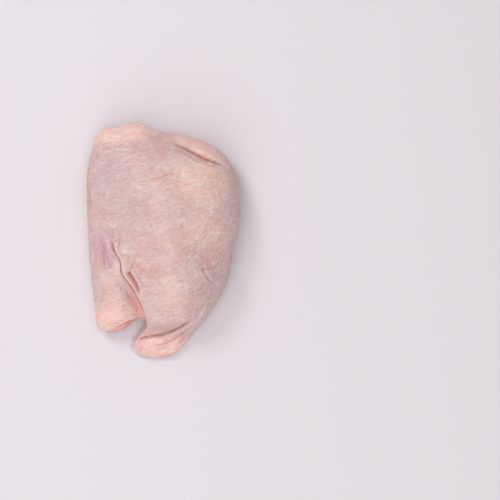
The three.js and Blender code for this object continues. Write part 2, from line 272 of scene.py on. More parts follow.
def smooth_curve(points, count, closed=False):
    """Places on a smooth curve through the points, evenly numbered between them."""
    points = np.asarray(points, float)
    spans = len(points) if closed else len(points) - 1
    place = np.linspace(0, spans, count, endpoint=not closed)
    low = np.minimum(place.astype(int), spans - 1)
    t = (place - low)[:, None]

    def near(step):
        number = low + step
        return points[number % len(points)] if closed else points[np.clip(number, 0, len(points) - 1)]

    leaving = (near(1) - near(-1)) / 2
    arriving = (near(2) - near(0)) / 2
    return (
        near(0) * (2 * t**3 - 3 * t**2 + 1)
        + near(1) * (3 * t**2 - 2 * t**3)
        + leaving * (t**3 - 2 * t**2 + t)
        + arriving * (t**3 - t**2)
    )


def outline_tables():
    """The outline's distance from the centre, its rim height and its wrap, in evenly spaced directions."""
    edge = smooth_curve(OUTLINE, 8 * DIRECTIONS, closed=True)
    away = edge[:, :2] - CENTRE
    heading = np.arctan2(away[:, 1], away[:, 0])
    order = np.argsort(heading)
    even = np.arange(DIRECTIONS) / DIRECTIONS * TURN - math.pi
    columns = np.hypot(*away.T), edge[:, 2], edge[:, 3]
    return [np.interp(even, heading[order], column[order], period=TURN) for column in columns]


def blurred(values, reach):
    """A table that goes round the thigh, with each row averaged with its neighbours."""
    steps = np.arange(-2 * reach, 2 * reach + 1)
    weights = bell(steps, reach)
    total = sum(weight * np.roll(values, -step) for weight, step in zip(weights, steps))
    return total / weights.sum()


RADII, RIM_HEIGHTS, WRAP_REACHES = outline_tables()
OUTER_RADII = blurred(RADII, OUTLINE_BLUR)
INNER_RADII = blurred(RADII, INSIDE_BLUR)
RIMS = blurred(RIM_HEIGHTS, RIM_BLUR)
WRAPS = blurred(WRAP_REACHES, OUTLINE_BLUR)


def table_at(table, heading):
    """What a table that goes round the thigh says at any headings."""
    place = (heading + math.pi) / TURN * DIRECTIONS
    return np.interp(place % DIRECTIONS, np.arange(DIRECTIONS + 1), np.append(table, table[0]))


class SmoothLine:
    """A smooth line on the plan. It tells how far points are from it, on which side and where along it."""

    def __init__(self, points):
        self.places = smooth_curve(points, LINE_STEPS)

    def near(self, p):
        """Each point's distance, the same signed for its side, its step to the line, and how far along."""
        distance = np.full(len(p), np.inf)
        signed = np.zeros(len(p))
        along = np.zeros(len(p))
        step = np.zeros((len(p), 2))
        for number in range(LINE_STEPS - 1):
            start = self.places[number]
            run = self.places[number + 1] - start
            t = np.clip((p - start) @ run / (run @ run), 0, 1)
            gap = start + t[:, None] * run - p
            reach = np.hypot(*gap.T)
            closer = reach < distance
            left = np.where(run[0] * gap[:, 1] - run[1] * gap[:, 0] > 0, -1, 1)
            distance = np.where(closer, reach, distance)
            signed = np.where(closer, left * reach, signed)
            along = np.where(closer, (number + t) / (LINE_STEPS - 1), along)
            step = np.where(closer[:, None], gap, step)
        return distance, signed, step, along

    def beside(self, p):
        """Each point's distance, and how strong the line is there, which fades towards both of its ends."""
        distance, _, _, along = self.near(p)
        return distance, smooth(along / LINE_END) * smooth((1 - along) / LINE_END)


FOLDS = [(fold, SmoothLine(fold["line"])) for fold in (CREASE, KNEE_FOLD, HIP_FOLD)]
SLIT_LINES = [(slit, SmoothLine(slit["line"])) for slit in SLITS]
SEAM_LINES = [(SmoothLine(line), depth, width) for line, depth, width in SEAMS]
PLEAT_LINES = [(SmoothLine(line), depth, width, rise) for line, depth, width, rise in PLEATS]
VEIN_LINES = [(SmoothLine(line), width) for line, width in VEINS]


def offset_from(feature, heading):
    """How far headings are turned from the place that a feature lies towards, either way round."""
    x, y = np.array(feature["towards"]) - CENTRE
    return (heading - math.atan2(y, x) + math.pi) % TURN - math.pi


def crowded(heading):
    """Turns headings towards the notch, the more so the nearer they are."""
    offset = offset_from(NOTCH, heading)
    turned = heading - offset * NOTCH["pull"] * bell(offset, NOTCH["spread"])
    return (turned + math.pi) % TURN - math.pi


def plan_place(heading, share):
    """Places on the plan, at a share of the way from the centre out to the rim."""
    outer = smooth((share - NOTCH_REACH) / (1 - NOTCH_REACH))
    radius = blend(table_at(INNER_RADII, heading), table_at(OUTER_RADII, heading), outer) * share
    p = CENTRE + np.column_stack([radius * np.cos(heading), radius * np.sin(heading)])
    pushed = bell(np.hypot(*(p - KNEE_BULGE["at"]).T), KNEE_BULGE["spread"])
    return p + pushed[:, None] * np.array(KNEE_BULGE["push"])


def gathered(p, inset):
    """Draws places of the top towards the folds, so that their valleys are finely shaped."""
    moved = p.copy()
    for _, line in FOLDS:
        distance, _, step, along = line.near(p)
        pull = GATHER["pull"] * bell(distance, GATHER["reach"]) * smooth(along / FOLD_START)
        moved += step * (pull * smooth(inset / GATHER["fade"]))[:, None]
    return moved


def fold_strength(fold, along, share):
    return smooth(along / FOLD_START) * smooth((1 - share) / fold["rim_fade"])


def fold_relief(p, share):
    """The open valleys of the three folds, with a raised lip along one side."""
    relief = np.zeros(len(p))
    for fold, line in FOLDS:
        distance, signed, _, along = line.near(p)
        faded = fold_strength(fold, along, share)
        lifted = fold["lip"] * bell(signed - fold["lip_offset"], fold["lip_width"])
        relief += faded * (lifted - fold["depth"] * bell(distance, fold["width"]))
    return relief


def dimples(p, sizes):
    height, turn_x, start_x, turn_y, start_y = sizes
    return height * np.sin(p[:, 0] * turn_x + start_x) * np.sin(p[:, 1] * turn_y + start_y)


def skin_height(p):
    """Height of the top over each place of the plan, with its swellings and without its folds."""
    height = SKIN_LEVEL + dimples(p, DIMPLES)
    for rise, turn_x, turn_y, start in SOFT_WAVES:
        height += rise * np.sin(p[:, 0] * turn_x + p[:, 1] * turn_y + start)
    for (x, y), (wide, long), rise in SWELLINGS:
        height += rise * bell(p[:, 0] - x, wide) * bell(p[:, 1] - y, long)
    fall = smooth((KNEE_FALL[0] - p[:, 1]) / (KNEE_FALL[0] - KNEE_FALL[1]))
    return blend(height, KNEE_SKIN_HEIGHT, fall)


def under_relief(p):
    """How far the bare underside is hollowed, by the seams between muscles and round the bone's ends."""
    relief = UNDER_DIMPLES[0] + dimples(p, UNDER_DIMPLES)
    for line, depth, width in SEAM_LINES:
        distance, strength = line.beside(p)
        relief += depth * bell(distance, width) * strength
    for (x, y), radius in BONE_ENDS:
        relief += BONE_RING[0] * bell(np.hypot(p[:, 0] - x, p[:, 1] - y) - radius, BONE_RING[1])
    return relief


def half_meridian(power, height):
    """Shares of the radius down one side of the mean thigh, with the area and the length run through."""
    angle = np.linspace(0, math.pi / 2, MERIDIAN_STEPS + 1)
    share = np.sin(angle) ** (2 / power)
    level = np.maximum(0, 1 - share**power) ** (1 / power)
    step = np.hypot(np.diff(share) * MEAN["radius"], np.diff(level) * height)
    area = np.append(0, np.cumsum(step * (share[1:] + share[:-1]) / 2))
    return share, area, np.append(0, np.cumsum(step))


# A meridian of the mean thigh runs from the middle of the top over the rim to the middle of the underside.
TOP_SHARE, TOP_AREA, TOP_LENGTH = half_meridian(SIDE_POWER, MEAN["rise"])
UNDER_SHARE, UNDER_AREA, UNDER_LENGTH = half_meridian(UNDER_POWER, MEAN["drop"])
TOP_TOTAL = TOP_AREA[-1]
WHOLE = TOP_TOTAL + UNDER_AREA[-1]
AREAS = np.append(TOP_AREA, WHOLE - UNDER_AREA[-2::-1])
LENGTHS = np.append(TOP_LENGTH, TOP_LENGTH[-1] + UNDER_LENGTH[-1] - UNDER_LENGTH[-2::-1])
SHARES = np.append(TOP_SHARE, UNDER_SHARE[-2::-1])


def area_at(share, top):
    """The area of the mean thigh from the middle of the top out to a place."""
    over = np.interp(share, TOP_SHARE, TOP_AREA)
    return np.where(top, over, WHOLE - np.interp(share, UNDER_SHARE, UNDER_AREA))


EDGE_AREAS = blurred(area_at(1 - np.abs(WRAPS) / OUTER_RADII, WRAPS < 0), EDGE_BLUR)
RING_AREA = area_at(RING_SHARE, True)


class Surface:
    """Places on the body's surface, and what is known about each: plan, skin edge and outward direction."""

    def __init__(self, heading, area, sway=0):
        self.heading, self.area = heading, area
        self.share = np.interp(area, AREAS, SHARES)
        self.top = area <= TOP_TOTAL
        self.radius = table_at(OUTER_RADII, heading)
        self.rim = table_at(RIMS, heading)
        self.inset = (1 - self.share) * self.radius
        flat = plan_place(heading, self.share)
        self.plan = np.where(self.top[:, None], gathered(flat, self.inset), flat)
        # How far past the skin's edge a place is over the surface, less than 0 on the skin.
        self.edge_area = table_at(EDGE_AREAS, heading) + sway
        lengths = np.interp(area, AREAS, LENGTHS) - np.interp(self.edge_area, AREAS, LENGTHS)
        self.past_edge = lengths * self.radius / MEAN["radius"]
        self.dome = np.maximum(0, 1 - self.share**SIDE_POWER) ** (1 / SIDE_POWER)
        self.tuck = 1 - np.maximum(0, 1 - self.share**UNDER_POWER) ** (1 / UNDER_POWER)
        self.normal = self.outward()

    def outward(self):
        power = np.where(self.top, SIDE_POWER, UNDER_POWER)
        level = np.where(self.top, self.dome, 1 - self.tuck)
        height = np.where(self.top, MEAN["rise"], MEAN["drop"])
        sideways = self.share ** (power - 1) / MEAN["radius"]
        upwards = level ** (power - 1) / height * np.where(self.top, 1, -1)
        normal = np.column_stack([sideways * np.cos(self.heading), sideways * np.sin(self.heading), upwards])
        return normal / np.linalg.norm(normal, axis=1)[:, None]

    def skin_places(self):
        """The skin's surface with no fine relief, carried on past its edge."""
        over = self.rim + (skin_height(self.plan) - self.rim) * self.dome
        over += fold_relief(self.plan, self.share)
        z = np.where(self.top, over, np.maximum(SETTLED, self.rim * self.tuck))
        return np.column_stack([self.plan, z - SETTLED])

    def meat_places(self):
        """The bare meat's surface with no fine relief: the muscles underneath, and the cut end."""
        over = self.skin_places()[:, 2] - SKIN_THICKNESS * smooth(self.dome / RIM_EASE)
        raised = SKIN_THICKNESS * bell(self.past_edge, SKIN_EDGE_REACH)
        raised += under_relief(self.plan) * smooth(self.past_edge / UNDER_EASE)
        under = np.maximum(SETTLED, self.rim * self.tuck + raised * (1 - self.tuck))
        return np.column_stack([self.plan, np.where(self.top, over, under - SETTLED)])

    def beneath(self):
        """1 on the bare underside, and less towards the skin's edge."""
        return smooth(self.past_edge / UNDER_EASE) * ~self.top


def middle_of_rim():
    """The middle of the box round the thigh's outline."""
    heading = np.linspace(-math.pi, math.pi, DIRECTIONS)
    rim = Surface(heading, np.full(DIRECTIONS, TOP_TOTAL)).plan
    return (rim.min(0) + rim.max(0)) / 2


# The solid stands with the middle of its box over the origin, so the pieces are moved alike.
TO_ORIGIN = np.append(-middle_of_rim(), 0)


def noise(x, y):
    """Smooth unevenness from about -1 to 1, the same on every run."""
    column, row = np.floor(x).astype(int), np.floor(y).astype(int)
    right_share, up_share = x - column, y - row

    def slope(right, up):
        turned = TURN * LATTICE[(row + up) % LATTICE_SIZE, (column + right) % LATTICE_SIZE]
        return np.cos(turned) * (right_share - right) + np.sin(turned) * (up_share - up)

    s, t = (share**3 * (6 * share**2 - 15 * share + 10) for share in (right_share, up_share))
    return 1.5 * blend(blend(slope(0, 0), slope(1, 0), s), blend(slope(0, 1), slope(1, 1), s), t)


def wrinkled(lay, kind):
    """Soft ridges, some with narrow valleys between them, from about minus their height to their height."""
    offset = kind["offset"]
    bend = kind["bend"] * noise(lay[:, 0] / kind["bend_size"] + offset, lay[:, 1] / kind["bend_size"])
    ridges = []
    for angle in GRAIN_ANGLES:
        along = lay[:, 0] * math.cos(angle) + lay[:, 1] * math.sin(angle)
        across = lay[:, 1] * math.cos(angle) - lay[:, 0] * math.sin(angle) + bend
        waves = noise(along / kind["long"] + offset, across / kind["wide"])
        ridges.append(blend(waves, 2 * np.abs(waves) - 1, RIDGED))
    turned = smooth((lay[:, 1] + CENTRE[1] - GRAIN_TURN[0]) / (GRAIN_TURN[1] - GRAIN_TURN[0]))
    return kind["height"] * blend(*ridges, turned)


def follicles(lay):
    """Small bumps of uneven strength on a jittered grid, from 0 to 1 at the top of a strong one."""
    cell = lay / FOLLICLE["spacing"]
    base = np.floor(cell).astype(int)
    bumps = np.zeros(len(lay))
    for right in (-1, 0, 1):
        for up in (-1, 0, 1):
            column, row = (base[:, 0] + right) % LATTICE_SIZE, (base[:, 1] + up) % LATTICE_SIZE
            shift = np.column_stack([LATTICE[row, column], LATTICE[column, row - 1]]) - 0.5
            stagger = np.column_stack([0.5 * ((base[:, 1] + up) % 2), np.zeros(len(lay))])
            bump = base + (right, up) + 0.5 + stagger + 2 * FOLLICLE["jitter"] * shift
            away = np.hypot(*((cell - bump) * FOLLICLE["spacing"]).T)
            strength = blend(FOLLICLE["least"], 1, LATTICE[row - 2, column] ** 2)
            bumps = np.maximum(bumps, strength * bell(away, FOLLICLE["radius"]))
    return bumps


def edge_sway(heading):
    """How far the skin's cut edge strays, which isn't straight, and reaches further beside the bare meat."""
    x, y = np.cos(heading), np.sin(heading)
    sway = EDGE_SWAY["reach"] * noise(x * EDGE_SWAY["turns"], y * EDGE_SWAY["turns"])
    fine_turns = EDGE_SWAY["fine_turns"]
    sway += EDGE_SWAY["fine_reach"] * noise(x * fine_turns + EDGE_SWAY["offset"], y * fine_turns)
    return sway + sum(skin["reach"] * bell(offset_from(skin, heading), skin["spread"]) for skin in CUT_SKIN)


def cube_ball(cuts):
    """A cube with evenly divided faces, and the direction of each of its corners once it is blown up."""
    ball = bmesh.new()
    bmesh.ops.create_cube(ball, size=2)
    bmesh.ops.subdivide_edges(ball, edges=ball.edges[:], cuts=cuts, use_grid_fill=True)
    rounded = np.tan(places_of(ball) * math.pi / 4)
    return ball, rounded / np.linalg.norm(rounded, axis=1)[:, None]


def places_of(shape):
    return np.array([vertex.co for vertex in shape.verts])


def make_piece(name, shape, places, slot, material, **attributes):
    """Turns a shaped mesh into a piece that rides with the thigh and stands for its solid."""
    places[:, 2] = np.maximum(places[:, 2], LOWEST[slot])
    for vertex, place in zip(shape.verts, (places + TO_ORIGIN) * METRES):
        vertex.co = place
    bmesh.ops.recalc_face_normals(shape, faces=shape.faces[:])
    if shape.calc_volume(signed=True) < 0:  # a long thin piece can come out inside out
        bmesh.ops.reverse_faces(shape, faces=shape.faces[:])
    for face in shape.faces:
        face.smooth = True
    mesh = bpy.data.meshes.new(name)
    shape.to_mesh(mesh)
    shape.free()
    for attribute, values in attributes.items():
        if values.ndim == 1:
            layer = mesh.attributes.new(attribute, "FLOAT", "POINT")
            layer.data.foreach_set("value", values.astype(np.float32))
        else:
            layer = mesh.attributes.new(attribute, "FLOAT_VECTOR", "POINT")
            layer.data.foreach_set("vector", values.astype(np.float32).ravel())
    mesh.materials.append(material)
    piece = bpy.data.objects.new(name, mesh)
    bpy.context.scene.collection.objects.link(piece)
    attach(piece, "root")
    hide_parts(NODE)


def laid_out(surface):
    """Where each place would be if the skin were laid out flat."""
    reach = np.interp(surface.area, AREAS, LENGTHS) * table_at(INNER_RADII, surface.heading) / MEAN["radius"]
    return reach[:, None] * np.column_stack([np.cos(surface.heading), np.sin(surface.heading)])


def round_and_down(directions):
    """The heading of each corner of a blown-up cube, and how far down the ball it is, from 0 to 1."""
    heading = crowded(np.arctan2(directions[:, 1], directions[:, 0]))
    return heading, np.clip((1 - directions[:, 2]) / 2, 0, 1)


def skin_surface(directions):
    """Where the corners of a blown-up cube go on the skin, and which of them make its outer side."""
    heading, covered = round_and_down(directions)
    outer = covered <= OUTER_SHARE
    reach = np.where(outer, covered / OUTER_SHARE, (1 - covered) / (1 - OUTER_SHARE))
    sway = edge_sway(heading)
    edge_area = table_at(EDGE_AREAS, heading) + sway
    # Inside a fixed ring the mesh doesn't follow the cut edge, so it stays even there.
    ring = reach / RING_REACH * RING_AREA
    beyond = RING_AREA + (edge_area - RING_AREA) * (reach - RING_REACH) / (1 - RING_REACH)
    return Surface(heading, np.where(reach < RING_REACH, ring, beyond), sway), outer


def skin_relief(skin, lay, bumps):
    """Height of the skin's own wrinkles, follicles and ripples."""
    relief = wrinkled(lay, WRINKLE) + wrinkled(lay, FINE_WRINKLE) + FOLLICLE["height"] * bumps
    relief += ROLL["height"] * noise(lay[:, 0] / ROLL["size"] + ROLL["offset"], lay[:, 1] / ROLL["size"])
    for (x, y), (wide, long), ripple in LOOSE:
        near = bell(np.hypot((skin.plan[:, 0] - x) / wide, (skin.plan[:, 1] - y) / long), 1)
        uneven = noise(lay[:, 0] / RIPPLE["size"] + RIPPLE["offset"], lay[:, 1] / RIPPLE["size"])
        relief += ripple * near * uneven
    return relief * np.where(skin.top, 1, blend(PRESSED, 1, skin.tuck))


def pleated(on_top):
    """Depth of the pleats, and how far their sides stand up."""
    depth, raised = np.zeros(len(on_top)), np.zeros(len(on_top))
    for line, deep, wide, rise in PLEAT_LINES:
        distance, strength = line.beside(on_top)
        depth += deep * bell(distance, wide) * strength
        raised += rise * bell(distance - PLEAT_SIDES * wide, wide) * strength
    return depth, raised


def veined(on_top):
    """How strongly veins show through the skin."""
    veins = np.zeros(len(on_top))
    for line, wide in VEIN_LINES:
        distance, strength = line.beside(on_top)
        veins += bell(distance, wide) * strength
    return veins


def slit_folds(skin, on_top, outer):
    """Depth of the folds' narrow bottoms, and height, pale lips (partly a painted highlight) and lean of the
    rolls over them.
    """
    depth, rolls, lips = np.zeros(len(on_top)), np.zeros(len(on_top)), np.zeros(len(on_top))
    lean = np.zeros((len(on_top), 2))
    for slit, line in SLIT_LINES:
        distance, signed, step, along = line.near(on_top)
        inside = smooth(skin.inset / GATHER["fade"])
        started = smooth(along / slit["start"]) * inside
        rolled = bell(signed - slit["nose"], slit["wide"]) * (signed > 0)
        rolled = rolled * smooth(along / FOLD_START) * inside
        depth += slit["depth"] * bell(distance, slit["width"]) * started
        rolls += slit["roll"] * rolled
        lips += bell(signed - LIP_SHOWN[0], LIP_SHOWN[1]) * started * outer
        lean += step * (slit["lean"] * rolled * outer / np.maximum(distance, TINY))[:, None]
    return depth, rolls, lips, lean


def crease_fill(skin, on_top):
    """How much the skin fills the crease's valley, which is only deep at its lower end."""
    fold, line = FOLDS[0]
    distance, _, _, along = line.near(on_top)
    upper = smooth((CREASE_FILL["end"] - along) / CREASE_FILL["fade"])
    filled = CREASE_FILL["share"] * fold["depth"] * bell(distance, fold["width"])
    return filled * fold_strength(fold, along, skin.share) * upper


def shaded_crease(on_top):
    """The thin dark line of painted shade along the crease's upper part."""
    distance, _, _, along = SLIT_LINES[0][1].near(on_top)
    upper = smooth(along / SLITS[0]["start"]) * smooth((SHADED["end"] - along) / SHADED["fade"])
    return bell(distance, SHADED["width"]) * upper


def shaded_reddened_hollow(on_top):
    """The valley on the left of the crease's lower end, reddened and darkened as painted shade."""
    _, signed, _, along = FOLDS[0][1].near(on_top)
    lower = smooth((along - HOLLOW["from"]) / HOLLOW["over"])
    return lower * bell(np.minimum(signed, 0), HOLLOW["width"]) * (signed < HOLLOW["past"])


def make_skin(material):
    """The skin: a closed ball of mesh, with its outer side over the thigh and its inner side under that."""
    ball, directions = cube_ball(SKIN_CUTS)
    skin, outer = skin_surface(directions)
    lay = laid_out(skin)
    bumps = follicles(lay)
    on_top = np.where(skin.top[:, None], skin.plan, FAR_AWAY)
    pleats, raised = pleated(on_top)
    slits, rolls, lips, lean = slit_folds(skin, on_top, outer)
    relief = skin_relief(skin, lay, bumps) + raised + rolls - pleats - slits + crease_fill(skin, on_top)
    relief += EDGE_ROLL["rise"] * bell(skin.past_edge, EDGE_ROLL["reach"])
    # The skin has one thickness, and is rounded off at its edge.
    from_edge = np.maximum(0, -skin.past_edge)
    half = SKIN_THICKNESS / 2
    rounding = half * np.sqrt(1 - (1 - np.minimum(1, from_edge / half)) ** 2)
    sunk = np.where(outer, half - rounding, half + rounding)
    bare = skin.skin_places()
    places = bare + skin.normal * (relief * outer - sunk)[:, None]
    places[:, :2] += lean
    # The attributes hollow, fold_depth, lip and shaded carry painted shade and highlights for the skin's
    # colour.
    make_piece(
        "skin", ball, places, "skin", material,
        bare=bare * METRES, follicle=bumps, fold_depth=pleats + slits, lip=lips, vein=veined(on_top),
        from_edge=from_edge, hollow=shaded_reddened_hollow(on_top), shaded=shaded_crease(on_top),
    )


def fibre_grain(p):
    """The meat's places across and along its fibres, which run to the seam over the bone from both sides."""
    _, signed, _, _ = SEAM_LINES[0][0].near(p)
    grains = []
    for angle in FIBRE_ANGLES:
        across = p[:, 0] * math.cos(angle) - p[:, 1] * math.sin(angle)
        grains.append(np.column_stack([across, p[:, 0] * math.sin(angle) + p[:, 1] * math.cos(angle)]))
    return blend(*grains, smooth(0.5 + signed / FIBRE_TURN)[:, None])


def meat_relief(grain):
    """Strands and soft lumps of the bare meat."""
    across, along = grain.T
    strands = (
        height * noise(across / wide + right, along / long + up)
        for height, (wide, long), (right, up) in STRANDS
    )
    return sum(strands) - STRANDS_SUNK


def seams_shown(meat):
    """Where the seams between the muscles are seen, from 0 to 1."""
    seams = np.zeros(len(meat.plan))
    for line, _, width in SEAM_LINES:
        distance, strength = line.beside(meat.plan)
        seams = np.maximum(seams, bell(distance, SEAM_SHOWN * width) * strength * meat.beneath())
    return seams


def bones_shown(meat):
    """How far the meat stands back from the bone's ends."""
    back = np.zeros(len(meat.plan))
    for (x, y), radius in BONE_ENDS:
        near = np.hypot(meat.plan[:, 0] - x, meat.plan[:, 1] - y)
        back += BONE_SHOWN["depth"] * smooth(BONE_SHOWN["reach"] - near / radius) * meat.beneath()
    return back


def make_meat(material):
    """The meat: it follows the skin from beneath, and is bare at the cut end and on the underside."""
    ball, directions = cube_ball(MEAT_CUTS)
    heading, covered = round_and_down(directions)
    portions, (start, under_skin, at_rim) = MEAT_SPREAD
    levels = [start, under_skin * TOP_TOTAL, at_rim * TOP_TOTAL, WHOLE]
    meat = Surface(heading, np.interp(covered, portions, levels), edge_sway(heading))
    hidden = meat.skin_places() - meat.normal * (SKIN_THICKNESS + MEAT_GAP)
    bare = smooth(0.5 + meat.past_edge / BARE_BLEND)
    grain = fibre_grain(meat.plan)
    places = blend(hidden, meat.meat_places(), bare[:, None])
    places += meat.normal * (bare * meat_relief(grain))[:, None]
    places[:, 2] += bones_shown(meat)
    cut = smooth(-table_at(WRAPS, heading) / CUT_SHOWN) * smooth(1 - meat.past_edge / CUT_REACH)
    grain = np.column_stack([grain, places[:, 2]]) * METRES
    make_piece(
        "meat", ball, places, "meat", material,
        grain=grain, past_edge=meat.past_edge, cut=cut, seam=seams_shown(meat),
    )


def add_lump(shape, middle, size, turned):
    """Adds a rounded lump with a dented surface."""
    made = bmesh.ops.create_icosphere(shape, subdivisions=LUMP["subdivisions"], radius=1)["verts"]
    corners = np.array([vertex.co for vertex in made])
    x, y, z = corners.T * LUMP["dent_size"]
    swell = 1 + LUMP["dents"] * noise(x + middle[1], y + z + middle[0])
    shaped = corners * swell[:, None] * size
    across = np.array([[math.cos(turned), math.sin(turned)], [-math.sin(turned), math.cos(turned)]])
    shaped[:, :2] = shaped[:, :2] @ across
    for vertex, place in zip(made, shaped + middle):
        vertex.co = place


def make_fat_margin(material):
    """An uneven ribbon of soft fat between the skin's folded edge and the meat."""
    fat = bmesh.new()
    bmesh.ops.create_cone(fat, cap_ends=True, segments=FAT["sides"], radius1=1, radius2=1, depth=2)
    lengthwise = [edge for edge in fat.edges if abs(edge.verts[0].co.z - edge.verts[1].co.z) > 1]
    bmesh.ops.subdivide_edges(fat, edges=lengthwise, cuts=FAT["steps"])
    across, upwards, along = places_of(fat).T
    along = (along + 1) / 2
    heading = np.radians(blend(*FAT["headings"], along))
    run = along * FAT["length"]
    edge = table_at(EDGE_AREAS, heading) + edge_sway(heading)
    wide, long = FAT["stray_sizes"]
    stray = FAT["stray"] * noise(run / wide + FAT["stray_offset"], run / long)
    spine = Surface(heading, edge + FAT["past"] + stray)
    inwards = CENTRE - spine.plan
    inwards /= np.linalg.norm(inwards, axis=1)[:, None]
    ends = np.sqrt(np.clip(np.minimum(along, 1 - along) / FAT["end"], FAT["end_size"], 1))
    right, up = spine.plan.T
    rise, size = FAT["lumps"]
    fine_rise, fine_size = FAT["fine_lumps"]
    lumps = 1 + rise * noise(right / size, up / size)
    lumps += fine_rise * noise(right / fine_size + FAT["fine_offset"], up / fine_size + across)
    plan = spine.plan + inwards * (across * FAT["half_width"] * lumps * ends)[:, None]
    height = spine.skin_places()[:, 2] + FAT["lift"] + upwards * FAT["half_height"] * lumps * ends
    make_piece("fat_margin", fat, np.column_stack([plan, height]), "fat", material)


def make_gristle(name, lumps, material):
    """The rounded end of the bone at a joint."""
    shape = bmesh.new()
    for middle, size, turned in lumps:
        add_lump(shape, np.array(middle), size, turned)
    make_piece(name, shape, places_of(shape), "gristle", material)


def linear(red, green, blue):
    """A colour as it is seen, from 0 to 255, made linear."""
    shares = [value / 255 for value in (red, green, blue)]
    return tuple(c / 12.92 if c <= 0.04045 else ((c + 0.055) / 1.055) ** 2.4 for c in shares)


SKIN_COLOURS = {
    "main": linear(223, 193, 191),
    "pink": linear(220, 176, 174),
    "cream": linear(240, 209, 202),
    "butter": linear(252, 216, 196),
    "grey": linear(208, 182, 184),
    "lilac": linear(212, 182, 188),
    "peach": linear(255, 209, 199),
    "tan": linear(220, 184, 170),
    "brown": linear(194, 156, 142),
    "violet": linear(210, 168, 180),
    "vein": linear(196, 144, 162),
    # painted shade of the crease's line
    "mauve": linear(180, 130, 134),
    # painted highlight
    "shine": linear(238, 208, 214),
    # red flesh in the folds, darkened with depth as painted shade
    "red": linear(206, 110, 102),
    "blush": linear(238, 170, 158),
    "edge": linear(255, 208, 198),
    "pale": linear(255, 221, 210),
    # pale follicle tips, partly a painted highlight
    "bump": linear(240, 216, 211),
    # painted highlight of the glints on wet ridges
    "moist": linear(250, 230, 225),
}
# Soft patches of colour that the skin shows, a few of them partly painted light and shade: middle, half sizes
# and turn, colour and strength.
SKIN_PATCHES = [
    ((-26, 22), (16, 26), 0, "grey", 0.5),
    ((-35, -27), (7, 13), 0, "grey", 0.25),
    ((-36.5, -9), (4, 12), 0, "pink", 0.35),
    ((-31.5, 51.5), (6, 3.6), -0.3, "pink", 0.6),
    ((-30, 38), (9, 12), 0, "lilac", 0.3),
    ((-12, 12), (8, 14), 0, "lilac", 0.3),
    ((-22.8, -24.5), (4.6, 4.4), 0, "lilac", 0.5),
    ((-27.6, -19.4), (7.5, 5), 0.3, "cream", 0.55),
    ((20, -22), (14, 10), 0, "grey", 0.4),
    ((27, -8), (9, 5), 0.3, "pink", 0.5),
    ((20, 30), (18, 16), 0, "butter", 0.45),
    ((24, 4), (11, 12), 0, "butter", 0.35),
    ((4, -28), (9, 12), 0, "cream", 0.4),
    ((-24, 59), (24, 7.5), 0.1, "peach", 0.9),
    ((-22, 60.5), (20, 5), 0.1, "pale", 0.5),
    ((18, 52), (20, 5), -0.5, "peach", 0.75),
    ((-27, -44), (18, 13), 0, "peach", 0.85),
    ((-2, -58), (15, 8), 0, "peach", 0.8),
    ((-32.6, 56.6), (5, 3), 0.4, "butter", 0.35),
    ((-33, -46.2), (3, 3), 0, "butter", 0.45),
    # Pale skin at the heel, lightened partly as painted light where the surface curves down.
    ((-30, -48.6), (7.5, 2.8), 0.1, "pale", 0.8),
    # A tan band along the left rim, partly painted shade under the rolled edge, and a brown line of painted
    # shade along the pleat beside it.
    ((-41.6, 24), (2.6, 28), 0, "tan", 0.75),
    ((-39.5, 22), (0.8, 15), 0.01, "brown", 0.5),
    ((-30, -6), (6, 12), 0.25, "violet", 0.75),
    # A pale streak of painted highlight between the veins.
    ((-28.7, -3), (1.1, 7.4), 0.28, "shine", 0.45),
    ((-27, 8), (4, 2), 0, "cream", 0.3),
    ((-24, -13.6), (3, 3), 0, "cream", 0.4),
    ((-29.5, -26.5), (6.5, 4.5), 0, "edge", 0.25),
    ((3, -63.6), (9, 2.4), 0, "blush", 0.5),
]
MEAT_COLOURS = {
    "main": linear(222, 150, 142),
    "deep": linear(204, 118, 112),
    "pale": linear(238, 186, 176),
    "silver": linear(238, 214, 212),
    "fat": linear(246, 220, 204),
    "cut": linear(255, 192, 178),
    # dark red along the cut's borders, along the upper one partly painted shadow under the skin's edge
    "rim": linear(208, 94, 94),
}
FAT_COLOURS = linear(250, 228, 212), linear(244, 202, 184)
GRISTLE_COLOURS = linear(230, 204, 200), linear(218, 160, 154)
# Painted light and shade of the wrinkles: factors that lighten ridges and darken valleys in the skin's
# colour, and the lightest that a ridge gets.
RIDGE_HIGHLIGHT_TINT, VALLEY_SHADE_TINT = (1.14, 1.18, 1.13), (0.96, 0.8, 0.8)
LIGHTEST = (0.97, 0.74, 0.66)
# Colours that follow the skin's own forms, most of them painted shade and highlight: attribute, colour, where
# it starts and is full, and strength.
SKIN_TINTS = [
    # The hollow: reddened, and darkened as painted shade.
    ("hollow", "blush", 0, 1, 0.55),
    # Red flesh seen in folds and pleats, darkened with depth as painted shade.
    ("fold_depth", "red", 0.3, 2, 0.9),
    # Pale lips of the rolls, partly a painted highlight along their edge.
    ("lip", "cream", 0.2, 1, 0.8),
    # The mauve line: painted shade in the crease.
    ("shaded", "mauve", 0.1, 0.9, 0.5),
    ("from_edge", "edge", 2.2, 0.4, 0.7),
]
PATCH_EDGE = {"scale": 90, "stray": 0.7, "outer": 1.25, "inner": 0.35}  # how a patch of colour fades out
MARKS = {"long": 2.6, "wide": 0.9, "scale": 640, "wander": 0.007, "wander_scale": 80}  # fine wrinkles
# Painted highlights: small pale glints drawn into the skin's colour.
GLINTS = {"long": 1.7, "wide": 0.9, "scale": 620}
CELL_SCALE = 620  # of the tiny plump cells between the skin's finest lines
FLESH = {"Subsurface Scale": 0.0012, "IOR": 1.4, "Coat Roughness": 0.12}  # what all moist surfaces share
BUMP_DISTANCE = 0.0004
VECTOR, FLOAT = "NodeSocketVector", "NodeSocketFloat"


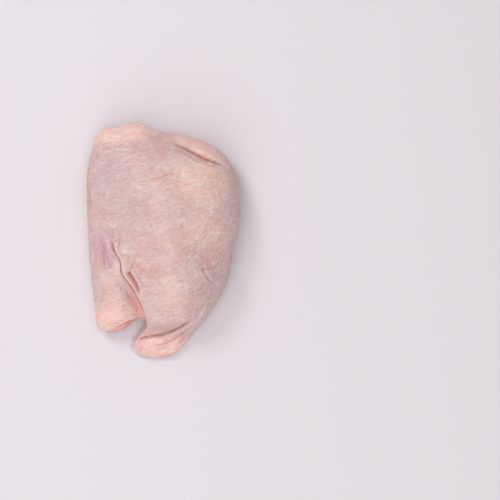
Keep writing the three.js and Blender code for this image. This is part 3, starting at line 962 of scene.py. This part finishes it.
class Nodes:
    """Adds nodes to a tree and joins them by short calls."""

    def __init__(self, tree):
        self.tree = tree

    def set(self, socket, value):
        if isinstance(value, bpy.types.NodeSocket):
            self.tree.links.new(value, socket)
        else:
            socket.default_value = value

    def add(self, kind, sockets=(), **settings):
        """Adds a node, with its settings and the values or links of its named or numbered sockets."""
        node = self.tree.nodes.new(kind)
        for name, value in settings.items():
            setattr(node, name, value)
        for name, value in dict(sockets).items():
            self.set(node.inputs[name], value)
        return node

    def math(self, operation, *values):
        return self.add("ShaderNodeMath", enumerate(values), operation=operation).outputs[0]

    def vector(self, operation, *values):
        return self.add("ShaderNodeVectorMath", enumerate(values), operation=operation).outputs

    def mix(self, first, second, share):
        node = self.add("ShaderNodeMix", {"Factor": share}, data_type="RGBA")
        for name, value in (("A", first), ("B", second)):
            socket = next(s for s in node.inputs if s.name == name and s.type == "RGBA")
            self.set(socket, value if isinstance(value, bpy.types.NodeSocket) else (*value, 1))
        return next(s for s in node.outputs if s.type == "RGBA")

    def tinted(self, colour, factors, share):
        """Multiplies a colour by factors, but takes it no higher than the lightest."""
        changed = self.vector("MULTIPLY", colour, factors)["Vector"]
        return self.mix(colour, self.vector("MINIMUM", changed, LIGHTEST)["Vector"], share)

    def ramp(self, value, low, high, bottom=0, top=1):
        """Turns low to high into bottom to top, smoothly and no further."""
        sockets = {"Value": value, "From Min": low, "From Max": high, "To Min": bottom, "To Max": top}
        return self.add("ShaderNodeMapRange", sockets, interpolation_type="SMOOTHSTEP").outputs[0]

    def noise(self, place, scale, detail=2, roughness=0.5):
        sockets = {"Vector": place, "Scale": scale, "Detail": detail, "Roughness": roughness}
        return self.add("ShaderNodeTexNoise", sockets).outputs["Fac"]

    def moved(self, place, location=(0, 0, 0), turned=0, scale=(1, 1, 1), kind="POINT"):
        sockets = {"Vector": place, "Location": location, "Rotation": (0, 0, turned), "Scale": scale}
        return self.add("ShaderNodeMapping", sockets, vector_type=kind).outputs[0]

    def attribute(self, name, vector=False):
        node = self.add("ShaderNodeAttribute", attribute_name=name)
        return node.outputs["Vector" if vector else "Fac"]

    def group(self, tree, **values):
        return self.add("ShaderNodeGroup", values, node_tree=tree).outputs

    def place(self):
        return self.add("ShaderNodeTexCoord").outputs["Object"]


def new_group(name, inputs, outputs):
    """A new node group that takes a place and named numbers, with its nodes and the ends to join."""
    tree = bpy.data.node_groups.new(name, "ShaderNodeTree")
    tree.interface.new_socket("Place", in_out="INPUT", socket_type=VECTOR)
    for title, value in inputs.items():
        tree.interface.new_socket(title, in_out="INPUT", socket_type=FLOAT).default_value = value
    for title in outputs:
        tree.interface.new_socket(title, in_out="OUTPUT", socket_type=FLOAT)
    nodes = Nodes(tree)
    return tree, nodes, nodes.add("NodeGroupInput").outputs, nodes.add("NodeGroupOutput").inputs


def wetness_group():
    """Uneven wetness: where it lies thick, the surface is smooth and its fine grain is filled."""
    tree, nodes, given, out = new_group(
        "wetness",
        {"Patches": 120.0, "Dry": 0.5, "Wet": 0.25, "Grain": 1500.0},
        ["Roughness", "Height"],
    )
    patch = nodes.noise(given["Place"], given["Patches"], detail=3, roughness=0.6)
    wetness = nodes.ramp(patch, 0.4, 0.62)
    nodes.set(out["Roughness"], nodes.ramp(wetness, 0, 1, given["Dry"], given["Wet"]))
    grain = nodes.noise(given["Place"], given["Grain"])
    calmed = nodes.math("MULTIPLY_ADD", wetness, -0.5, 1)
    nodes.set(out["Height"], nodes.math("MULTIPLY", grain, calmed))
    return tree


def mottle_group():
    """Soft blotches of a second colour, broken up by finer ones."""
    tree, nodes, given, out = new_group("mottle", {"Size": 60.0, "Cover": 0.5, "Softness": 0.2}, ["Mask"])
    wide = nodes.noise(given["Place"], given["Size"], detail=5, roughness=0.65)
    level = nodes.math("SUBTRACT", 1, given["Cover"])
    low = nodes.math("SUBTRACT", level, given["Softness"])
    high = nodes.math("ADD", level, given["Softness"])
    nodes.set(out["Mask"], nodes.ramp(wide, low, high))
    return tree


WETNESS = wetness_group()
MOTTLE = mottle_group()


def new_material(name, settings):
    """A new material with its shader's constants set, with its nodes and its shader."""
    material = bpy.data.materials.new(name)
    material.use_nodes = True
    shader = material.node_tree.nodes["Principled BSDF"]
    for socket, value in settings.items():
        shader.inputs[socket].default_value = value
    return material, Nodes(material.node_tree), shader


def flesh_material(name, subsurface, radius, coat):
    """A new moist material that light goes a little way into, with its nodes and its shader."""
    own = {"Subsurface Weight": subsurface, "Subsurface Radius": radius, "Coat Weight": coat}
    return new_material(name, {**FLESH, **own})


def wetted(nodes, shader, place, **sizes):
    """Makes a material wet here and drier there, and gives the height of its fine grain."""
    wetness = nodes.group(WETNESS, Place=place, **sizes)
    nodes.set(shader.inputs["Roughness"], wetness["Roughness"])
    return wetness["Height"]


def bump(nodes, shader, height, strength):
    """Gives a material its fine relief."""
    node = nodes.add("ShaderNodeBump", {"Height": height, "Strength": strength, "Distance": BUMP_DISTANCE})
    nodes.set(shader.inputs["Normal"], node.outputs["Normal"])


def skin_ground(nodes, place):
    """The skin's own colour: pink blotches, and fat that shows through."""
    blotches = nodes.group(MOTTLE, Place=place, Size=70.0, Cover=0.45, Softness=0.16)["Mask"]
    colour = nodes.mix(SKIN_COLOURS["main"], SKIN_COLOURS["pink"], blotches)
    beside = nodes.moved(place, location=(0.4, 0.2, 0))
    fat_show = nodes.group(MOTTLE, Place=beside, Size=130.0, Cover=0.42, Softness=0.12)["Mask"]
    return nodes.mix(colour, SKIN_COLOURS["cream"], nodes.math("MULTIPLY", fat_show, 0.5))


def patched(nodes, colour, place):
    """Lays the soft patches over the skin's colour."""
    stray = PATCH_EDGE["stray"]
    uneven = nodes.noise(place, PATCH_EDGE["scale"], detail=3)
    uneven = nodes.math("MULTIPLY_ADD", uneven, stray, -stray / 2)
    for (x, y), (wide, long), turned, tint, strength in SKIN_PATCHES:
        middle, size = (x * METRES, y * METRES, 0), (wide * METRES, long * METRES, 1)
        away = nodes.moved(place, middle, turned, size, "TEXTURE")
        reach = nodes.math("ADD", nodes.vector("LENGTH", away)["Value"], uneven)
        cover = nodes.ramp(reach, PATCH_EDGE["outer"], PATCH_EDGE["inner"], 0, strength)
        colour = nodes.mix(colour, SKIN_COLOURS[tint], cover)
    return colour


def drawn_out(nodes, place, marks):
    """Places as seen by marks that are long along the skin's grain and narrow across it."""
    scale = (marks["long"], marks["wide"], marks["wide"])
    return nodes.moved(place, turned=GRAIN_ANGLES[0], scale=scale, kind="TEXTURE")


def fine_wrinkles(nodes, bare):
    """Fine wrinkles over the skin: they rise to the right and wander a little."""
    sockets = {"Vector": bare, "Scale": MARKS["wander_scale"], "Detail": 2}
    wander = nodes.add("ShaderNodeTexNoise", sockets).outputs["Color"]
    bent = nodes.vector("MULTIPLY_ADD", wander, (MARKS["wander"],) * 3, bare)["Vector"]
    return nodes.noise(drawn_out(nodes, bent, MARKS), MARKS["scale"], detail=3, roughness=0.6)


def painted_glints(nodes, bare, wrinkles):
    """Painted highlights: small pale glints on some of the ridges."""
    beside = nodes.moved(bare, location=(0.3, 0.1, 0))
    glints = nodes.noise(drawn_out(nodes, beside, GLINTS), GLINTS["scale"], detail=1)
    return nodes.math("MULTIPLY", nodes.ramp(glints, 0.64, 0.75), nodes.ramp(wrinkles, 0.46, 0.6, 0, 0.6))


def broken_veins(nodes, place):
    """The veins, fainter here and there."""
    broken = nodes.ramp(nodes.noise(place, 420), 0.35, 0.6, 0.3, 1)
    return nodes.math("MULTIPLY", nodes.attribute("vein"), broken)


def skin_grain(nodes, bare, wrinkles, grain_height):
    """Height of the skin's finest relief: wrinkles, tiny plump cells and grain."""
    sockets = {"Vector": bare, "Scale": CELL_SCALE}
    cells = nodes.add("ShaderNodeTexVoronoi", sockets, feature="DISTANCE_TO_EDGE")
    plump = nodes.ramp(cells.outputs["Distance"], 0, 0.25)
    return nodes.math("MULTIPLY_ADD", plump, 0.35, nodes.math("MULTIPLY_ADD", wrinkles, 2.2, grain_height))


def make_skin_material():
    """Pale pink skin with soft patches, wrinkles, veins and reddened folds under an uneven wetness, with
    painted light and shade on its wrinkles, glints, lips and folds.
    """
    material, nodes, shader = flesh_material("raw_skin", 0.3, (0.8, 0.45, 0.35), 0.16)
    place = nodes.place()
    bare = nodes.attribute("bare", vector=True)
    wrinkles = fine_wrinkles(nodes, bare)
    colour = patched(nodes, skin_ground(nodes, place), place)
    # Painted light and shade: ridges of the wrinkles lightened, their valleys darkened.
    colour = nodes.tinted(colour, RIDGE_HIGHLIGHT_TINT, nodes.ramp(wrinkles, 0.5, 0.68, 0, 0.75))
    colour = nodes.tinted(colour, VALLEY_SHADE_TINT, nodes.ramp(wrinkles, 0.48, 0.32, 0, 0.8))
    # Painted highlights of small glints.
    colour = nodes.mix(colour, SKIN_COLOURS["moist"], painted_glints(nodes, bare, wrinkles))
    # Pale follicle tips, partly a painted highlight.
    follicle = nodes.ramp(nodes.attribute("follicle"), 0.3, 0.9, 0, 0.4)
    colour = nodes.mix(colour, SKIN_COLOURS["bump"], follicle)
    veins = nodes.ramp(broken_veins(nodes, place), 0.05, 1.1, 0, 0.65)
    colour = nodes.mix(colour, SKIN_COLOURS["vein"], veins)
    for form, tint, low, high, strength in SKIN_TINTS:
        share = nodes.ramp(nodes.attribute(form), low, high, 0, strength)
        colour = nodes.mix(colour, SKIN_COLOURS[tint], share)
    nodes.set(shader.inputs["Base Color"], colour)
    grain_height = wetted(nodes, shader, place, Patches=160.0, Dry=0.52, Wet=0.32, Grain=1800.0)
    bump(nodes, shader, skin_grain(nodes, bare, wrinkles, grain_height), 0.9)
    return material


def cut_tint(nodes, strands, past_edge, cut):
    """How much of the cut end's pale pink, and of the red along its two borders, shows; the red along the
    upper border is partly painted shadow under the skin's edge.
    """
    pale = nodes.math("MULTIPLY", cut, nodes.ramp(strands, 0.35, 0.6, 0.65, 1))
    upper = nodes.ramp(past_edge, 2.6, 1.2, 0, 0.75)
    lower = nodes.ramp(past_edge, 3.6, 5.6, 0, 0.4)
    return pale, nodes.math("MULTIPLY", cut, nodes.math("ADD", upper, lower))


def fatty_edge(nodes, place, past_edge, cut):
    """A torn border of fat along the skin's edge, but not at the cut end."""
    torn = nodes.math("MULTIPLY_ADD", nodes.noise(place, 300, detail=3), 4, past_edge)
    return nodes.math("MULTIPLY", nodes.ramp(torn, 4.4, 2.2, 0, 0.6), nodes.math("SUBTRACT", 1, cut))


def silver_skin(nodes, place):
    """Patches of the thin pale skin over the muscles."""
    stretched = nodes.moved(place, location=(0.1, 0.3, 0.2), scale=(1, 0.5, 1))
    silver = nodes.group(MOTTLE, Place=stretched, Size=75.0, Cover=0.4, Softness=0.06)["Mask"]
    return nodes.math("MULTIPLY", silver, 0.45)


def make_meat_material():
    """Pink meat with paler strands, thin silver skin, and fat in its seams and along the skin's edge."""
    material, nodes, shader = flesh_material("raw_meat", 0.3, (1.0, 0.3, 0.2), 0.4)
    place = nodes.place()
    seam, past_edge, cut = (nodes.attribute(name) for name in ("seam", "past_edge", "cut"))
    blotches = nodes.group(MOTTLE, Place=place, Size=60.0, Cover=0.5, Softness=0.2)["Mask"]
    grain = nodes.moved(nodes.attribute("grain", vector=True), scale=(1, 0.12, 0.5))
    strands = nodes.noise(grain, 1100, detail=4)
    broken = nodes.ramp(nodes.noise(place, 220, detail=3), 0.4, 0.6, 0, 0.75)
    cut_pale, shaded_cut_borders = cut_tint(nodes, strands, past_edge, cut)
    colour = MEAT_COLOURS["main"]
    for tint, share in (
        ("deep", blotches),
        ("pale", nodes.ramp(strands, 0.5, 0.75, 0, 0.55)),
        ("silver", silver_skin(nodes, place)),
        ("deep", nodes.ramp(seam, 0.1, 0.6, 0, 0.7)),
        ("fat", nodes.math("MULTIPLY", nodes.ramp(seam, 0.6, 0.95), broken)),
        ("fat", fatty_edge(nodes, place, past_edge, cut)),
        ("cut", cut_pale),
        # Red borders of the cut, the upper one partly painted shadow under the skin's edge.
        ("rim", shaded_cut_borders),
    ):
        colour = nodes.mix(colour, MEAT_COLOURS[tint], share)
    nodes.set(shader.inputs["Base Color"], colour)
    grain_height = wetted(nodes, shader, place, Patches=200.0, Dry=0.42, Wet=0.2, Grain=1400.0)
    bump(nodes, shader, nodes.math("MULTIPLY_ADD", strands, 1.2, grain_height), 0.6)
    return material


def blotched(nodes, shader, place, colours, spread):
    """Two colours in soft blotches, as fat and gristle have."""
    mask = nodes.group(MOTTLE, Place=place, Size=spread, Cover=0.4, Softness=0.18)["Mask"]
    nodes.set(shader.inputs["Base Color"], nodes.mix(*colours, mask))


def make_fat_material():
    """Soft cream fat."""
    material, nodes, shader = flesh_material("soft_fat", 0.5, (1.0, 0.7, 0.4), 0.3)
    place = nodes.place()
    blotched(nodes, shader, place, FAT_COLOURS, 260.0)
    bump(nodes, shader, wetted(nodes, shader, place, Patches=300.0, Dry=0.5, Wet=0.28, Grain=900.0), 0.5)
    return material


def make_gristle_material():
    """Glossy pale gristle, pink in places."""
    material, nodes, shader = flesh_material("gristle", 0.4, (0.8, 0.7, 0.7), 0.6)
    place = nodes.place()
    blotched(nodes, shader, place, GRISTLE_COLOURS, 180.0)
    bump(nodes, shader, wetted(nodes, shader, place, Patches=240.0, Dry=0.3, Wet=0.16, Grain=700.0), 0.2)
    return material


def make_thigh():
    make_skin(make_skin_material())
    make_meat(make_meat_material())
    make_fat_margin(make_fat_material())
    gristle = make_gristle_material()
    make_gristle("hip_gristle", HIP_GRISTLE, gristle)
    make_gristle("knee_gristle", KNEE_GRISTLE, gristle)


# Studio: the photo's frame is 500 pixels square and looks straight down.
PHOTO_SIZE = 500
PHOTO_MM_PER_PIXEL = 0.54
PHOTO_ORIGIN = (163.15, 240)  # the pixel over the thigh's origin
LENS, SENSOR = 100, 36
THIGH_LEVEL = 15
FLOOR = {"Base Color": (*linear(227, 220, 226), 1), "Roughness": 0.7}
FLOOR_REACH = 3  # in metres, from its middle
SKY = {"colour": (1, 0.99, 0.98, 1), "strength": 0.36}
SOFTBOXES = [  # name, place and size in metres, power in watts
    ("ceiling", (0, 0, 1.6), 1.6, 9.6),
    ("key", (-0.55, 0.65, 0.9), 0.4, 4.5),
    ("fill", (-0.2, -0.9, 0.8), 0.9, 4.6),
]


def make_camera():
    """A camera straight above, whose picture is the photo's frame at the thigh's own height."""
    width = PHOTO_SIZE * PHOTO_MM_PER_PIXEL
    across = (PHOTO_SIZE / 2 - PHOTO_ORIGIN[0]) * PHOTO_MM_PER_PIXEL
    upwards = (PHOTO_ORIGIN[1] - PHOTO_SIZE / 2) * PHOTO_MM_PER_PIXEL
    height = width * LENS / SENSOR + THIGH_LEVEL
    camera = bpy.data.objects.new("camera", bpy.data.cameras.new("camera"))
    camera.data.lens = LENS
    camera.data.sensor_width = SENSOR
    camera.location = (across * METRES, upwards * METRES, height * METRES)
    bpy.context.scene.collection.objects.link(camera)
    bpy.context.scene.camera = camera


def make_floor():
    shape = bmesh.new()
    bmesh.ops.create_grid(shape, x_segments=1, y_segments=1, size=FLOOR_REACH)
    mesh = bpy.data.meshes.new("floor")
    shape.to_mesh(mesh)
    shape.free()
    mesh.materials.append(new_material("pale_floor", FLOOR)[0])
    floor = bpy.data.objects.new("floor", mesh)
    bpy.context.scene.collection.objects.link(floor)


def make_light():
    world = bpy.data.worlds.new("studio")
    world.use_nodes = True
    background = world.node_tree.nodes["Background"]
    background.inputs["Color"].default_value = SKY["colour"]
    background.inputs["Strength"].default_value = SKY["strength"]
    bpy.context.scene.world = world
    for name, place, size, power in SOFTBOXES:
        lamp = bpy.data.lights.new(name, "AREA")
        lamp.size = size
        lamp.energy = power
        light = bpy.data.objects.new(name, lamp)
        light.location = place
        light.rotation_euler = (-light.location).to_track_quat("-Z", "Y").to_euler()
        bpy.context.scene.collection.objects.link(light)
    bpy.context.scene.view_settings.view_transform = "Standard"


make_thigh()
make_camera()
make_floor()
make_light()
